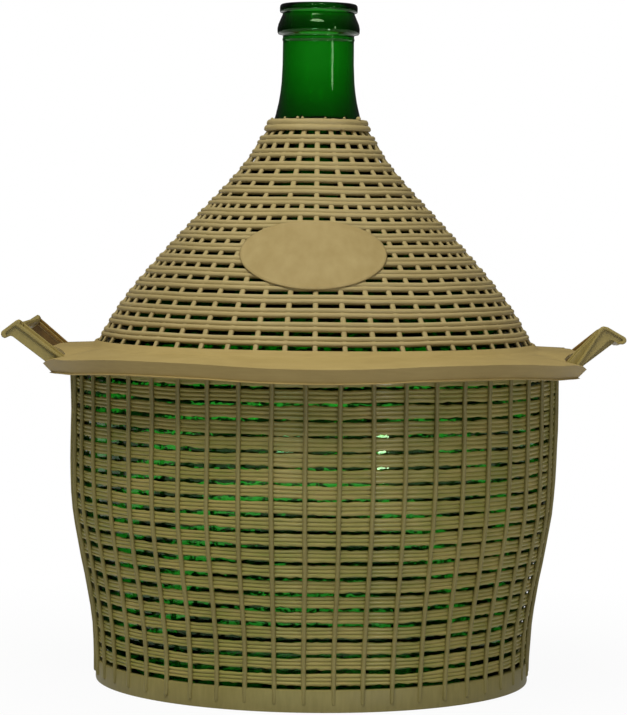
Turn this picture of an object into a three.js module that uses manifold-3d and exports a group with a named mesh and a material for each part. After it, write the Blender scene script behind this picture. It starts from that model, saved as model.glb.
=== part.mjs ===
import * as THREE from "three";
import { mergeVertices } from "three/addons/utils/BufferGeometryUtils.js";
import Module from "manifold-3d";

// Wide demijohn: a green glass bottle in a moulded plastic basket with a conical cover.
// Millimetres, +Z up, the base stands on z = 0, the oval plate faces -Y, the handles are at +X and -X.

// Clearances
const GAP = 0.3;
const BOTTLE_CLEAR = 2;
const HANDLE_CLEAR = 1.4;
const NOTCH_CLEAR = 5;

// Brim radius, which the basket, the cone and the handles follow
const FLANGE_R = 211;
const BRIM_OVERHANG = 25.5;

// Basket
const FOOT_TAPER = 19.6;
const FOOT_H = 16.3;
const FLOOR_T = 3.5;
const WALL_T = 3;
const WEAVE_TOP_Z = 231.5;
const RIB_COUNT = 48;
const RIB_W = 3.4;
const RIB_PROUD = 2.4;
const BASKET_R = FLANGE_R - BRIM_OVERHANG - RIB_PROUD;
const FOOT_R = BASKET_R - FOOT_TAPER;
const RIB_TIP_Z = 8;
const RIB_TOP_DROP = 3.5;
const RIB_HOOP_H = 4;
const BAND_COUNT = 19;
const SLIT_W = 2.8;
const SLIT_DEPTH = 1.6;
const RIM_TOP_Z = 245.3;
const RIM_T = 4.3;

// Conical cover
const CONE_TOP_Z = 418.8;
const CONE_TOP_R = 39.8;
const CONE_BASE_Z = 257.3;
const CONE_INSET = 17.9;
const CONE_BASE_R = BASKET_R - CONE_INSET;
const COVER_T = 3;
const SPOKE_COUNT = 24;
const SPOKE_W = 3.4;
const SPOKE_T = 1.8;
const CONE_ROWS = 17;
const CONE_FIRST_ROW = 6;
const CONE_SLIT_W = 3.5;
const CONE_SEGMENTS = 36;
const NECK_RING_H = 5;
const NECK_RING_STEP = 1.6;

// Flange under the cone
const FLANGE_T = 2.5;
const FLANGE_FALL = 8;
const BASE_BAND_W = 5.5;
const BASE_BAND_FALL = 4.5;
const SKIRT_H = 12;
const SKIRT_LEAN = 4.2;
const NOTCH_IN = 1.1;
const NOTCH_X = BASKET_R - NOTCH_IN;

// Oval plate on the cone
const PLATE_W = 105;
const PLATE_L = 68;
const PLATE_T = 1.4;
const PLATE_RIM_W = 2.6;
const PLATE_RIM_PROUD = 0.8;
const PLATE_Z = 322.8;

// Loop handles
const HANDLE_HALF_W = 70;
const HANDLE_ANGLE = 36.3 * Math.PI / 180;
const HANDLE_OUT = 6.5;
const HANDLE_REACH = FLANGE_R + HANDLE_OUT;
const ARM_H = 10;
const ARM_T = 3;
const ARM_LIP_W = 7;
const ARM_LIP_T = 2.5;
const GRIP_W = 16;
const GRIP_T = 4;
const GRIP_LIP = 3;
const ROOT_T = 3.6;
const ROOT_H = 11;

// Glass bottle
const BOTTLE_TOP_Z = 511.8;
const GLASS_T = 5;
const NECK_R = 27.7;
const LIP_R = 29.3;
const COLLAR_R = 31.5;
const NECK_FOOT_Z = 426.3;
const NECK_FOOT_R = 32.3;
const PUNT_H = 8;
const BOTTLE_SEGMENTS = 28;

// Basket surface: fraction of the way up the weave, fraction of the way from foot to full radius
const BASKET_CURVE = [
  [0, 0], [0.12, 0.075], [0.25, 0.285], [0.42, 0.66], [0.58, 0.91], [1, 1],
];

// Cone surface: fraction of the way down, fraction of the way out
const CONE_CURVE = [
  [0, 0], [0.13, 0.092], [0.24, 0.205], [0.42, 0.42], [0.68, 0.718], [0.83, 0.87], [1, 1],
];

const wasm = await Module();
wasm.setup();

// Solids from geometries
function solid(geometry) {
  const bare = new THREE.BufferGeometry();
  bare.setAttribute("position", geometry.getAttribute("position").clone());
  if (geometry.index) {
    bare.setIndex(geometry.index.clone());
  }
  const welded = mergeVertices(bare, 1e-4);
  const index = welded.index.array;
  const tris = [];
  for (let i = 0; i < index.length; i += 3) {
    const a = index[i];
    const b = index[i + 1];
    const c = index[i + 2];
    if (a !== b && b !== c && c !== a) {
      tris.push(a, b, c);
    }
  }
  const mesh = new wasm.Mesh({
    numProp: 3,
    vertProperties: new Float32Array(welded.getAttribute("position").array),
    triVerts: new Uint32Array(tris),
  });
  return new wasm.Manifold(mesh);
}

function join(list) {
  return list.reduce((whole, next) => whole.add(next));
}

function lathe(profile, segments, turn = 0) {
  const points = profile.map(([r, z]) => new THREE.Vector2(Math.max(r, 0), z));
  const geometry = new THREE.LatheGeometry(points, segments);
  geometry.rotateX(Math.PI / 2);
  geometry.rotateZ(turn);
  return solid(geometry);
}

function ring(profile, segments, turn = 0) {
  return lathe([...profile, profile[0]], segments, turn);
}

function block(x0, x1, y0, y1, z0, z1) {
  const geometry = new THREE.BoxGeometry(x1 - x0, y1 - y0, z1 - z0);
  geometry.translate((x0 + x1) / 2, (y0 + y1) / 2, (z0 + z1) / 2);
  return solid(geometry);
}

// A side outline given as distance out and height, drawn through the thickness y0 to y1
function slab(outline, y0, y1) {
  const shape = new THREE.Shape(outline.map(([a, z]) => new THREE.Vector2(a, z)));
  const geometry = new THREE.ExtrudeGeometry(shape, { depth: y1 - y0, bevelEnabled: false });
  geometry.rotateX(Math.PI / 2);
  geometry.translate(0, y1, 0);
  return solid(geometry);
}

// Points of a line moved sideways: positive moves to the right of its direction
function offsetLine(line, distance) {
  return line.map((point, i) => {
    const before = line[Math.max(i - 1, 0)];
    const here = point;
    const after = line[Math.min(i + 1, line.length - 1)];
    const normals = [];
    for (const [p, q] of [[before, here], [here, after]]) {
      const dr = q[0] - p[0];
      const dz = q[1] - p[1];
      const length = Math.hypot(dr, dz);
      if (length > 0) {
        normals.push([dz / length, -dr / length]);
      }
    }
    const first = normals[0];
    const last = normals[normals.length - 1];
    const scale = 1 + first[0] * last[0] + first[1] * last[1];
    const nr = (first[0] + last[0]) / scale;
    const nz = (first[1] + last[1]) / scale;
    return [here[0] + nr * distance, here[1] + nz * distance];
  });
}

function radiusAt(line, z) {
  for (let i = 1; i < line.length; i += 1) {
    const [r0, z0] = line[i - 1];
    const [r1, z1] = line[i];
    if ((z - z0) * (z - z1) <= 0 && z0 !== z1) {
      return r0 + (r1 - r0) * (z - z0) / (z1 - z0);
    }
  }
  return line[line.length - 1][0];
}

// The part of a rising line between two heights
function trimmed(line, low, high) {
  const middle = line.filter(([, z]) => z > low && z < high);
  const top = Math.min(high, line[line.length - 1][1]);
  const kept = middle.filter(([, z]) => z < top);
  return [[radiusAt(line, low), low], ...kept, [radiusAt(line, top), top]];
}

// A line with a groove of the given width and depth at each distance along it
function grooved(line, rows, width, depth) {
  const lengths = [0];
  for (let i = 1; i < line.length; i += 1) {
    lengths.push(lengths[i - 1] + Math.hypot(line[i][0] - line[i - 1][0], line[i][1] - line[i - 1][1]));
  }
  const at = (s, inward) => {
    let i = 1;
    while (i < line.length - 1 && lengths[i] < s) {
      i += 1;
    }
    const [p, q] = [line[i - 1], line[i]];
    const span = lengths[i] - lengths[i - 1];
    const t = (s - lengths[i - 1]) / span;
    const normal = [(q[1] - p[1]) / span, -(q[0] - p[0]) / span];
    return [
      p[0] + t * (q[0] - p[0]) - inward * normal[0],
      p[1] + t * (q[1] - p[1]) - inward * normal[1],
    ];
  };
  const marks = line.map((point, i) => ({ s: lengths[i], point }))
    .filter(({ s }) => rows.every((row) => Math.abs(s - row) > width * 0.7));
  for (const row of rows) {
    marks.push({ s: row - width / 2, point: at(row - width / 2, 0) });
    marks.push({ s: row, point: at(row, depth) });
    marks.push({ s: row + width / 2, point: at(row + width / 2, 0) });
  }
  marks.sort((a, b) => a.s - b.s);
  return marks.map(({ point }) => point);
}

function lineLength(line) {
  return line.slice(1).reduce((sum, q, i) => sum + Math.hypot(q[0] - line[i][0], q[1] - line[i][1]), 0);
}

// Guide lines, all running from low to high
const weaveFootZ = FOOT_H + GAP;
const weaveLine = BASKET_CURVE.map(([t, k]) => [
  FOOT_R + k * (BASKET_R - FOOT_R),
  weaveFootZ + t * (WEAVE_TOP_Z - weaveFootZ),
]);
const coneLine = CONE_CURVE.map(([t, k]) => [
  CONE_TOP_R + k * (CONE_BASE_R - CONE_TOP_R),
  CONE_TOP_Z + t * (CONE_BASE_Z - CONE_TOP_Z),
]).reverse();

// Basket foot: plain band with the floor
const footSolid = lathe([
  [0, 0],
  [FOOT_R - 1, 0],
  [FOOT_R, 1],
  [FOOT_R, FOOT_H],
  [FOOT_R - WALL_T, FOOT_H],
  [FOOT_R - WALL_T, FLOOR_T],
  [0, FLOOR_T],
], RIB_COUNT);

// Basket weave: the wall that carries the horizontal strands
const weaveInner = offsetLine(weaveLine, -WALL_T);
weaveInner[0][1] = weaveFootZ;
weaveInner[weaveInner.length - 1][1] = WEAVE_TOP_Z;
const bandPitch = lineLength(weaveLine) / BAND_COUNT;
const bandRows = Array.from({ length: BAND_COUNT - 1 }, (_, i) => (i + 1) * bandPitch);
const weaveFace = grooved(weaveLine, bandRows, SLIT_W, SLIT_DEPTH);
const weaveSolid = ring([...weaveFace, ...weaveInner.slice().reverse()], RIB_COUNT);

// Rib cage: upright ribs outside the weave, tied by a hoop under the rim
const ribTopZ = WEAVE_TOP_Z - RIB_TOP_DROP;
const ribLine = [
  [FOOT_R, RIB_TIP_Z],
  ...weaveLine.slice(0, -1),
  [radiusAt(weaveLine, ribTopZ), ribTopZ],
];
const ribInner = offsetLine(ribLine, GAP);
const ribOuter = offsetLine(ribLine, RIB_PROUD);
ribInner[0][1] = RIB_TIP_Z;
ribOuter[0][1] = RIB_TIP_Z + RIB_PROUD / 2;
ribInner[ribInner.length - 1][1] = ribTopZ;
ribOuter[ribOuter.length - 1][1] = ribTopZ;
const ribOutline = [...ribInner, ...ribOuter.slice().reverse()];
const hoopInnerR = radiusAt(weaveLine, ribTopZ) + GAP;
const hoopOuterR = radiusAt(weaveLine, ribTopZ) + RIB_PROUD;
const hoopSolid = ring([
  [hoopInnerR + GAP / 3, ribTopZ - RIB_HOOP_H],
  [hoopOuterR - GAP / 2, ribTopZ - RIB_HOOP_H],
  [hoopOuterR - GAP / 2, ribTopZ - GAP],
  [hoopInnerR + GAP / 3, ribTopZ - GAP],
], RIB_COUNT);
const ribParts = [hoopSolid];
for (let i = 0; i < RIB_COUNT; i += 1) {
  const turn = i * 360 / RIB_COUNT;
  ribParts.push(slab(ribOutline, -RIB_W / 2, RIB_W / 2).rotate([0, 0, turn]));
}
const ribSolid = join(ribParts);

// Basket rim: the ring that the cover's flange rests on
const rimOuterR = hoopOuterR;
const rimBottomZ = WEAVE_TOP_Z + GAP;
const rimSolid = ring([
  [rimOuterR - RIM_T, rimBottomZ],
  [rimOuterR, rimBottomZ],
  [rimOuterR, RIM_TOP_Z],
  [rimOuterR - RIM_T, RIM_TOP_Z],
], RIB_COUNT);

// Cover cone: the wall that carries the strands
const coneInner = offsetLine(coneLine, -COVER_T);
coneInner[0][1] = CONE_BASE_Z;
coneInner[coneInner.length - 1][1] = CONE_TOP_Z;
const coneRowSpan = lineLength(coneLine) - CONE_FIRST_ROW;
const coneRows = Array.from({ length: CONE_ROWS }, (_, i) => (i + 1) * coneRowSpan / CONE_ROWS);
const coneFace = grooved(coneLine, coneRows, CONE_SLIT_W, SLIT_DEPTH);
const coneSolid = ring([...coneFace, ...coneInner.slice().reverse()], CONE_SEGMENTS);

// Spokes inside the cone, tied by a hoop at its base
const spokeOuter = trimmed(offsetLine(coneLine, -COVER_T - GAP), CONE_BASE_Z, CONE_TOP_Z - GAP);
const spokeInner = trimmed(offsetLine(coneLine, -COVER_T - GAP - SPOKE_T), CONE_BASE_Z, CONE_TOP_Z - GAP);
const spokeOutline = [...spokeInner, ...spokeOuter.slice().reverse()];
const spokeHoop = ring([
  spokeInner[0],
  spokeOuter[0],
  [radiusAt(spokeOuter, CONE_BASE_Z + 3), CONE_BASE_Z + 3],
  [radiusAt(spokeInner, CONE_BASE_Z + 3), CONE_BASE_Z + 3],
].map(([r, z]) => [r - GAP, z]), CONE_SEGMENTS);
const spokeParts = [spokeHoop];
const spokeFlat = Math.cos(Math.PI / CONE_SEGMENTS);
for (let i = 0; i < SPOKE_COUNT; i += 1) {
  const turn = i * 360 / SPOKE_COUNT - 90;
  const outline = spokeOutline.map(([r, z]) => [r * spokeFlat - GAP, z]);
  spokeParts.push(slab(outline, -SPOKE_W / 2, SPOKE_W / 2).rotate([0, 0, turn]));
}
const spokeSolid = join(spokeParts);

// Neck ring closing the top of the cone
const ringInnerR = CONE_TOP_R - COVER_T;
const neckRingSolid = ring([
  [ringInnerR, CONE_TOP_Z + GAP],
  [CONE_TOP_R - GAP, CONE_TOP_Z + GAP],
  [CONE_TOP_R, CONE_TOP_Z + NECK_RING_H * 0.3],
  [CONE_TOP_R - NECK_RING_STEP, CONE_TOP_Z + NECK_RING_H * 0.9],
  [CONE_TOP_R - NECK_RING_STEP - 1, CONE_TOP_Z + NECK_RING_H],
  [ringInnerR - 1, CONE_TOP_Z + NECK_RING_H],
], CONE_SEGMENTS);

// Flange: plain base band, sloping brim and down-turned skirt, notched for both handles
const bandTopZ = CONE_BASE_Z - GAP;
const brimInner = [CONE_BASE_R + BASE_BAND_W, bandTopZ - BASE_BAND_FALL];
const brimOuter = [FLANGE_R - 1, brimInner[1] - FLANGE_FALL + 0.6];
const creaseZ = brimInner[1] - FLANGE_FALL;
const brimSlope = (brimInner[1] - brimOuter[1]) / (brimOuter[0] - brimInner[0]);
const flangeTop = [
  [FLANGE_R - SKIRT_LEAN, creaseZ - SKIRT_H],
  [FLANGE_R, creaseZ - 1],
  brimOuter,
  brimInner,
  [CONE_BASE_R + GAP, bandTopZ],
];
const flangeUnder = [
  [CONE_BASE_R - COVER_T, bandTopZ],
  [CONE_BASE_R - COVER_T, bandTopZ - FLANGE_T * 0.6],
  [brimInner[0] - 1, brimInner[1] - FLANGE_T],
  [FLANGE_R - FLANGE_T - 1, brimOuter[1] - FLANGE_T],
  [FLANGE_R - FLANGE_T, creaseZ - 1 - FLANGE_T],
  [FLANGE_R - SKIRT_LEAN - FLANGE_T, creaseZ - SKIRT_H],
];
const FLANGE_SEGMENTS = 60;
const flangeRing = ring([...flangeTop, ...flangeUnder], FLANGE_SEGMENTS);
const notchHalf = HANDLE_HALF_W + NOTCH_CLEAR;
const notchLow = creaseZ - SKIRT_H - 10;
const notchHigh = CONE_BASE_Z + 10;
const notchOut = FLANGE_R + 20;
const flangeSolid = flangeRing
  .subtract(block(NOTCH_X, notchOut, -notchHalf, notchHalf, notchLow, notchHigh))
  .subtract(block(-notchOut, -NOTCH_X, -notchHalf, notchHalf, notchLow, notchHigh));

// Oval plate: a curved badge left bare, with a thin raised rim
const plateR = radiusAt(coneLine, PLATE_Z);
const plateStep = 5;
const plateSlope = (radiusAt(coneLine, PLATE_Z - plateStep) - radiusAt(coneLine, PLATE_Z + plateStep))
  / (2 * plateStep);
const plateTilt = Math.atan(plateSlope);
function ovalPrism(halfW, halfL) {
  const shape = new THREE.Shape();
  shape.absellipse(0, 0, halfW, halfL, 0, Math.PI * 2, false, 0);
  const geometry = new THREE.ExtrudeGeometry(shape, { depth: PLATE_L, bevelEnabled: false, curveSegments: 18 });
  geometry.translate(0, 0, -PLATE_L / 2);
  geometry.rotateX(Math.PI / 2 - plateTilt);
  geometry.translate(0, -plateR, PLATE_Z);
  return solid(geometry);
}
function coneSkin(from, to) {
  const inside = offsetLine(coneLine, from);
  const outside = offsetLine(coneLine, to);
  return ring([...outside, ...inside.slice().reverse()], CONE_SEGMENTS);
}
const plateFace = coneSkin(GAP, GAP + PLATE_T).intersect(ovalPrism(PLATE_W / 2, PLATE_L / 2));
const plateRim = coneSkin(GAP, GAP + PLATE_T + PLATE_RIM_PROUD)
  .intersect(ovalPrism(PLATE_W / 2, PLATE_L / 2))
  .subtract(ovalPrism(PLATE_W / 2 - PLATE_RIM_W, PLATE_L / 2 - PLATE_RIM_W));
const plateSolid = plateFace.add(plateRim);

// Loop handle: two slanting arms with inturned lips, a broad grip and a root along the rim
const notchCornerR = Math.hypot(NOTCH_X, HANDLE_HALF_W);
const brimUnderZ = brimInner[1] - brimSlope * (notchCornerR - brimInner[0]) - FLANGE_T;
const ridgeZ = (a) => brimUnderZ - HANDLE_CLEAR + (a - NOTCH_X) * Math.tan(HANDLE_ANGLE);
const armDrop = ARM_H / Math.cos(HANDLE_ANGLE);
const lipDrop = ARM_LIP_T / Math.cos(HANDLE_ANGLE);
const rootA = BASKET_R * 0.9;
const crest = [HANDLE_REACH, ridgeZ(HANDLE_REACH)];
const gripDir = [Math.cos(HANDLE_ANGLE), -Math.sin(HANDLE_ANGLE)];
const gripIn = [-Math.sin(HANDLE_ANGLE), -Math.cos(HANDLE_ANGLE)];
const tip = [crest[0] + GRIP_W * gripDir[0], crest[1] + GRIP_W * gripDir[1]];
const armFoot = [
  crest[0] + ARM_H * gripDir[0] * 0.6,
  crest[1] + ARM_H * gripDir[1] * 0.6,
];
const armOutline = [
  [rootA, ridgeZ(rootA) - armDrop],
  [armFoot[0], ridgeZ(armFoot[0]) - armDrop],
  armFoot,
  crest,
  [rootA, ridgeZ(rootA)],
];
const lipOutline = [
  [rootA, ridgeZ(rootA) - lipDrop],
  [crest[0], crest[1] - lipDrop],
  crest,
  [rootA, ridgeZ(rootA)],
];
const gripOutline = [
  crest,
  [crest[0] + GRIP_T * gripIn[0], crest[1] + GRIP_T * gripIn[1]],
  [
    tip[0] - GRIP_LIP * gripDir[0] + GRIP_T * gripIn[0],
    tip[1] - GRIP_LIP * gripDir[1] + GRIP_T * gripIn[1],
  ],
  [
    tip[0] - GRIP_LIP * gripDir[0] + (GRIP_T + GRIP_LIP) * gripIn[0],
    tip[1] - GRIP_LIP * gripDir[1] + (GRIP_T + GRIP_LIP) * gripIn[1],
  ],
  [tip[0] + (GRIP_T + GRIP_LIP) * gripIn[0], tip[1] + (GRIP_T + GRIP_LIP) * gripIn[1]],
  tip,
];
const seatR = rimOuterR + GAP;
const rootBar = ring([
  [seatR, rimBottomZ],
  [seatR + ROOT_T, rimBottomZ],
  [seatR + ROOT_T, rimBottomZ + ROOT_H],
  [seatR, rimBottomZ + ROOT_H],
], RIB_COUNT).intersect(
  block(0, FLANGE_R, -HANDLE_HALF_W, HANDLE_HALF_W, rimBottomZ - 1, RIM_TOP_Z + 1),
);
const rimSpaceLow = ridgeZ(rootA) - 2 * armDrop;
const rimSpace = lathe([
  [0, rimSpaceLow],
  [seatR, rimSpaceLow],
  [seatR, RIM_TOP_Z + GAP],
  [0, RIM_TOP_Z + GAP],
], RIB_COUNT);
const inner = HANDLE_HALF_W - ARM_T;
const lipIn = HANDLE_HALF_W - ARM_LIP_W;
const handleSolid = join([
  slab(armOutline, inner, HANDLE_HALF_W),
  slab(armOutline, -HANDLE_HALF_W, -inner),
  slab(lipOutline, lipIn, HANDLE_HALF_W),
  slab(lipOutline, -HANDLE_HALF_W, -lipIn),
  slab(gripOutline, -HANDLE_HALF_W, HANDLE_HALF_W),
]).subtract(rimSpace).add(rootBar);

// Glass bottle: open at the mouth, body and shoulder follow the basket and the cover
const coverDepth = COVER_T + 3 * GAP + SPOKE_T;
const shoulderLine = offsetLine(coneLine, -coverDepth - BOTTLE_CLEAR);
const bodyLine = offsetLine(weaveLine, -WALL_T - BOTTLE_CLEAR).slice(1, -1);
const bottleFootZ = FLOOR_T + GAP;
const fullR = radiusAt(offsetLine(weaveLine, -WALL_T - BOTTLE_CLEAR), WEAVE_TOP_Z - 30);
const shoulderFoot = shoulderLine[0];
const shoulderRise = shoulderFoot[1] - (WEAVE_TOP_Z - 30);
const shoulderRun = fullR - shoulderFoot[0];
const heelR = FOOT_R - WALL_T - BOTTLE_CLEAR;
const outerBody = [
  [0, bottleFootZ + PUNT_H],
  [heelR * 0.6, bottleFootZ + PUNT_H * 0.35],
  [heelR * 0.78, bottleFootZ],
  [heelR * 0.92, bottleFootZ + 3.5],
  [heelR * 0.99, bottleFootZ + 14],
  ...bodyLine,
  [fullR, WEAVE_TOP_Z - 30],
  [fullR - shoulderRun * 0.3, WEAVE_TOP_Z - 30 + shoulderRise * 0.6],
  ...shoulderLine,
];
const outerNeck = [
  [NECK_FOOT_R, NECK_FOOT_Z],
  [NECK_R + 1.9, NECK_FOOT_Z + 14],
  [NECK_R + 0.8, NECK_FOOT_Z + 23],
  [NECK_R, NECK_FOOT_Z + 40],
  [NECK_R, BOTTLE_TOP_Z - 26],
  [COLLAR_R, BOTTLE_TOP_Z - 22],
  [COLLAR_R, BOTTLE_TOP_Z - 15],
  [NECK_R, BOTTLE_TOP_Z - 9],
  [LIP_R, BOTTLE_TOP_Z - 6],
  [LIP_R, BOTTLE_TOP_Z - 2],
  [LIP_R - 2, BOTTLE_TOP_Z],
];
const boreR = NECK_R - GLASS_T;
const innerBody = offsetLine(outerBody, -GLASS_T).slice(1);
const innerAll = [
  [0, bottleFootZ + PUNT_H + GLASS_T],
  ...innerBody,
  [boreR + 1.5, NECK_FOOT_Z + 14],
  [boreR, NECK_FOOT_Z + 40],
  [boreR, BOTTLE_TOP_Z - 2],
  [boreR + 1.5, BOTTLE_TOP_Z],
];
const bottleSolid = lathe([...outerBody, ...outerNeck, ...innerAll.slice().reverse()], BOTTLE_SEGMENTS);

// Finishes
function finish(color, roughness, options = {}) {
  return new THREE.MeshStandardMaterial({ color, roughness, metalness: 0, ...options });
}
const plasticTan = 0xa38e5c;
const plasticShade = 0x8c7d4c;
const glassGreen = 0x0f5a14;

const demijohn = new THREE.Group();
demijohn.name = "covered_demijohn";

function place(name, shape, material) {
  const data = shape.getMesh();
  const positions = new Float32Array(data.numVert * 3);
  for (let i = 0; i < data.numVert; i += 1) {
    for (let k = 0; k < 3; k += 1) {
      positions[3 * i + k] = data.vertProperties[data.numProp * i + k];
    }
  }
  const geometry = new THREE.BufferGeometry();
  geometry.setAttribute("position", new THREE.BufferAttribute(positions, 3));
  geometry.setIndex(new THREE.BufferAttribute(new Uint32Array(data.triVerts), 1));
  geometry.computeVertexNormals();
  const mesh = new THREE.Mesh(geometry, material);
  mesh.name = name;
  demijohn.add(mesh);
}

place("basket_foot", footSolid, finish(plasticShade, 0.55));
place("basket_weave", weaveSolid, finish(plasticShade, 0.55));
place("rib_cage", ribSolid, finish(plasticTan, 0.5));
place("basket_rim", rimSolid, finish(plasticShade, 0.55));
place("handle_left", handleSolid.rotate([0, 0, 180]), finish(plasticTan, 0.5));
place("handle_right", handleSolid, finish(plasticTan, 0.5));
place("glass_bottle", bottleSolid, finish(glassGreen, 0.08, { transparent: true, opacity: 0.55 }));
place("cover_weave", coneSolid, finish(plasticTan, 0.5));
place("cover_spokes", spokeSolid, finish(plasticTan, 0.5));
place("neck_ring", neckRingSolid, finish(plasticTan, 0.5));
place("cover_flange", flangeSolid, finish(plasticTan, 0.5));
place("oval_plate", plateSolid, finish(plasticTan, 0.45));

export default demijohn;
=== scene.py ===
import math

import bpy
from mathutils import Matrix, Vector, noise


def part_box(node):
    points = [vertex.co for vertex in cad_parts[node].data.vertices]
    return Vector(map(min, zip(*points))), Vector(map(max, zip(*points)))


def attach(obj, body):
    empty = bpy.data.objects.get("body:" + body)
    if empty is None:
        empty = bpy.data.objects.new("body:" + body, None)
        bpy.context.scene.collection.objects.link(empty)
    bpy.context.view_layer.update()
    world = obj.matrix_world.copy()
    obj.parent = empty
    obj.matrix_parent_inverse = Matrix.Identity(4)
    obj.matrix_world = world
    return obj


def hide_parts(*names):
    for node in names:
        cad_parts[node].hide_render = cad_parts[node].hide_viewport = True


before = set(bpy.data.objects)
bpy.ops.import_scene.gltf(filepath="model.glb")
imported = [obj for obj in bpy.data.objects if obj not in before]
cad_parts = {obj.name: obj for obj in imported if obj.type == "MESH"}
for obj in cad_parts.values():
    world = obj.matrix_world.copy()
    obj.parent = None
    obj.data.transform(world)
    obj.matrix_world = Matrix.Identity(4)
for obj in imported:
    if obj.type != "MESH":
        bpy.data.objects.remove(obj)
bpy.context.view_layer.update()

# A wide green demijohn in a moulded plastic basket with a conical cover.
# Metres, the base stands on z = 0, the oval plate faces -Y, the handles are at +X and -X.

MM = 0.001
WELD = 0.02 * MM

# Places taken from the frame
foot_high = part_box("basket_foot")[1]
weave_low, weave_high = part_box("basket_weave")
rim_low, rim_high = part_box("basket_rim")
cone_low, cone_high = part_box("cover_weave")
flange_low, flange_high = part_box("cover_flange")
plate_low, plate_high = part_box("oval_plate")
bottle_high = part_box("glass_bottle")[1]

FOOT_R = foot_high.y
FOOT_H = foot_high.z
WALL_R = weave_high.y
WEAVE_FOOT_Z = weave_low.z
WEAVE_TOP_Z = weave_high.z
CONE_BASE_R = cone_high.y
CONE_BASE_Z = cone_low.z
CONE_TOP_Z = cone_high.z
CONE_TOP_R = 39.8 * MM
FLANGE_R = flange_high.y

# Edges that turn by less than these degrees are shaded smooth
STRAND_SMOOTH = 50
BAR_SMOOTH = 60
EDGE_SMOOTH = 35
BRIM_SMOOTH = 40
PLATE_SMOOTH = 60
HANDLE_SMOOTH = 20
GLASS_SMOOTH = 70
PLAIN_SMOOTH = 30

# Rounded edges
ROUNDING_SEGMENTS = 2
ROUNDING_ANGLE = 40

# Slow dents: a name, the swells' size and the push in millimetres, its axis and the kind of noise
WALL_SWAYS = [
    ("row sway", 90, 3.0, "Z", "IMPROVED_PERLIN"),
    ("wall sway x", 80, 2.4, "X", "ORIGINAL_PERLIN"),
    ("wall sway y", 70, 2.4, "Y", "IMPROVED_PERLIN"),
]
RIB_SWAYS = [
    ("rib bend x", 30, 1.2, "X", "ORIGINAL_PERLIN"),
    ("rib bend y", 34, 1.2, "Y", "IMPROVED_PERLIN"),
]
COVER_SWAY = ("cover row sway", 60, 1.6, "Z", "IMPROVED_PERLIN")
NECK_SWAY = ("neck edge", 5, 0.9, "Z", "BLENDER_ORIGINAL")

# A strand's rounded face, in degrees from its middle
STRAND_ARC = (-80, -42, 0, 42, 80)
STRAND_BACK_SHARE = 0.9

# Basket strands
BASKET_CURVE = [(0, 0), (0.12, 0.075), (0.25, 0.285), (0.42, 0.66), (0.58, 0.91), (1, 1)]
BAND_COUNT = 20
BAND_FIRST_Z = 23.4 * MM
BAND_PITCH = 11.24 * MM
BAND_LOW_H = 7.9 * MM
BAND_HIGH_H = 9.5 * MM
BAND_STRANDS = 3
BAND_CROWN = 1.2 * MM
BAND_T = 2.6 * MM
BAND_STEPS = 288
SLIT_RAGGED = 1.0 * MM
SLIT_RAGGED_SIZE = 3.2 * MM
SLIT_DRIFT = 0.8 * MM
SLIT_DRIFT_SIZE = 26 * MM
SLIT_LEFT_WIDER = 0.6 * MM
SLIT_LEFT_FROM = 30 * MM
SLIT_LEFT_REACH = 50 * MM

# Basket ribs, foot and rim
RIB_COUNT = 48
RIB_R = 1.75 * MM
RIB_LIFT = 0.7 * MM
RIB_TURN = -1.85
RIB_TIP_Z = 5.5 * MM
RIB_TOP_Z = 241 * MM
RIB_STATIONS = 19
RIB_SIDES = 8
RIB_TIP = 1.6 * MM
RIB_KNIT_REACH = 2.6 * MM
RIB_KNIT = 0.25 * MM
FOOT_FLOOR_T = 3.5 * MM
FOOT_WALL_T = 3 * MM
FOOT_PROUD = 1.0 * MM
FOOT_EDGE = 0.5 * MM
RIM_T = 4.3 * MM
RIM_EDGE = 1 * MM
RIM_BACK = 2.4 * MM
RIM_LIFT = 1.6 * MM
RIM_STEP_H = 6 * MM

# The tip of a rib or a spoke: its size at the end, then shares of the tip's length and the sizes there
TIP_SIZE = 0.45
TIP_STEPS = ((0.35, 0.8), (0.65, 1))

# Cover strands and spokes
CONE_CURVE = [
    (0, 0), (0.13, 0.092), (0.24, 0.205), (0.42, 0.42), (0.68, 0.718), (0.83, 0.87), (1, 1),
]
CONE_BAND_COUNT = 17
CONE_STRANDS = 2
CONE_BAND_H = 7.7 * MM
CONE_BAND_CROWN = 1.8 * MM
CONE_BAND_T = 3.4 * MM
CONE_SLIT_TOP_Z = 414.8 * MM
CONE_SLIT_FOOT_Z = 259.2 * MM
CONE_FINE_STEPS = 400
CONE_STEPS = 144
SPOKE_COUNT = 24
SPOKE_HALF_W = 1.9 * MM
SPOKE_HALF_T = 1.5 * MM
SPOKE_CORNER_SHARE = 0.4
SPOKE_SINK = 2.3 * MM
SPOKE_TUCK_Z = 412 * MM
SPOKE_TUCK = 3 * MM
SPOKE_FOOT_DROP = 3 * MM
SPOKE_TIP = 0.5 * MM
SHORT_SPOKE_ROW = 6
SPOKE_STATIONS = 16

# Neck ring, and the flash left on its top edge: degrees from the front, radius in millimetres
NECK_BAND_H = 9.4 * MM
NECK_BAND_CROWN = 1.5 * MM
NECK_BAND_R = 39.3 * MM
NECK_BAND_Z = 420.7 * MM
NECK_BAND_LEAN = 24
NECK_STEPS = 96
NECK_NUBS = [
    (-42, 1.0), (-24, 1.3), (-18, 1.1), (9, 0.9), (33, 1.1), (57, 1.9), (128, 1.3), (205, 1.1), (251, 1.4),
]
NUB_R = 36.6 * MM
NUB_Z = 424.8 * MM

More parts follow.
